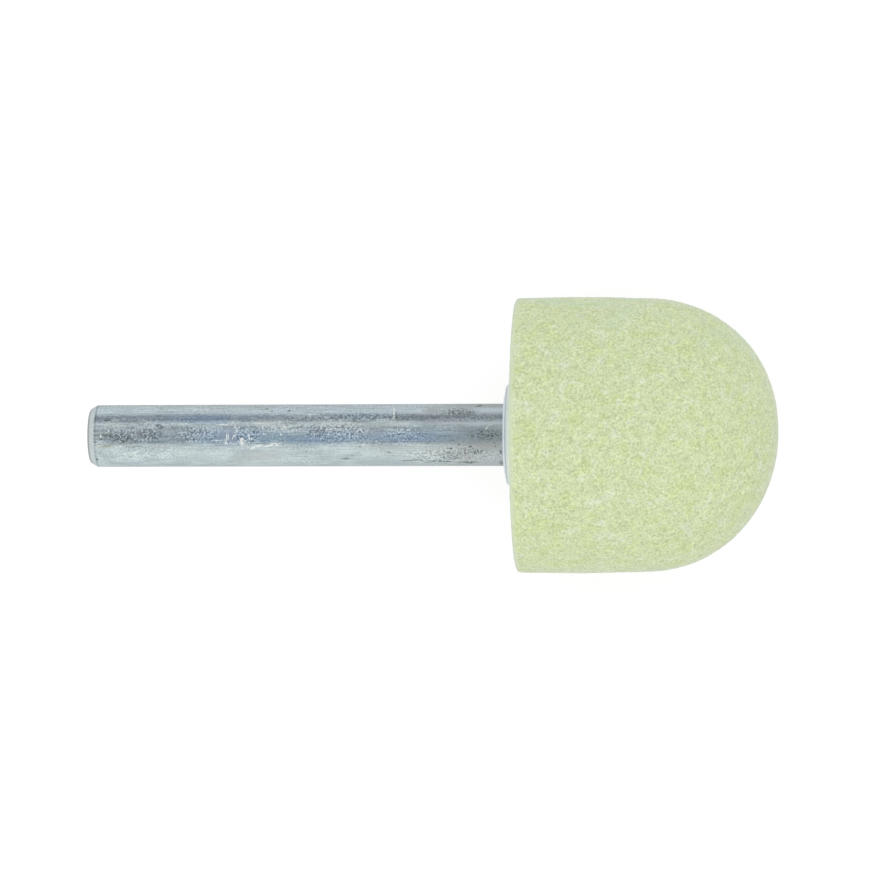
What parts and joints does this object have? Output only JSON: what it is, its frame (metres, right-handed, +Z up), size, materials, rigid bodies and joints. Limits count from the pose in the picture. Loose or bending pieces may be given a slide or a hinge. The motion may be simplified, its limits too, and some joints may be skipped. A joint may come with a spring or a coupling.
{
  "type": "mounted point",
  "caption": "Abrasive head with a straight side and a domed end, fixed with a flanged collar on a straight round steel shank for a collet.",
  "frame": {"origin": "centre of the flat face at the shank's free end, on the tool's axis", "axes": "+X along the tool's axis from the shank's free end towards the dome, +Z up as the tool lies on the side of its head"},
  "size_m": [0.0664, 0.0264, 0.0264],
  "materials": {
    "zinc_plated_steel": "zinc plated, streaked along its length, stained and scuffed near the middle and the collar",
    "collar_alloy": "satin, pale blue grey",
    "bonded_abrasive": "matt, fine open grain, pale yellow green with whitish flecks"
  },
  "bodies": {
    "root": {"spindle": "zinc_plated_steel", "collar": "collar_alloy", "grinding_head": "bonded_abrasive"}
  },
  "joints": []
}
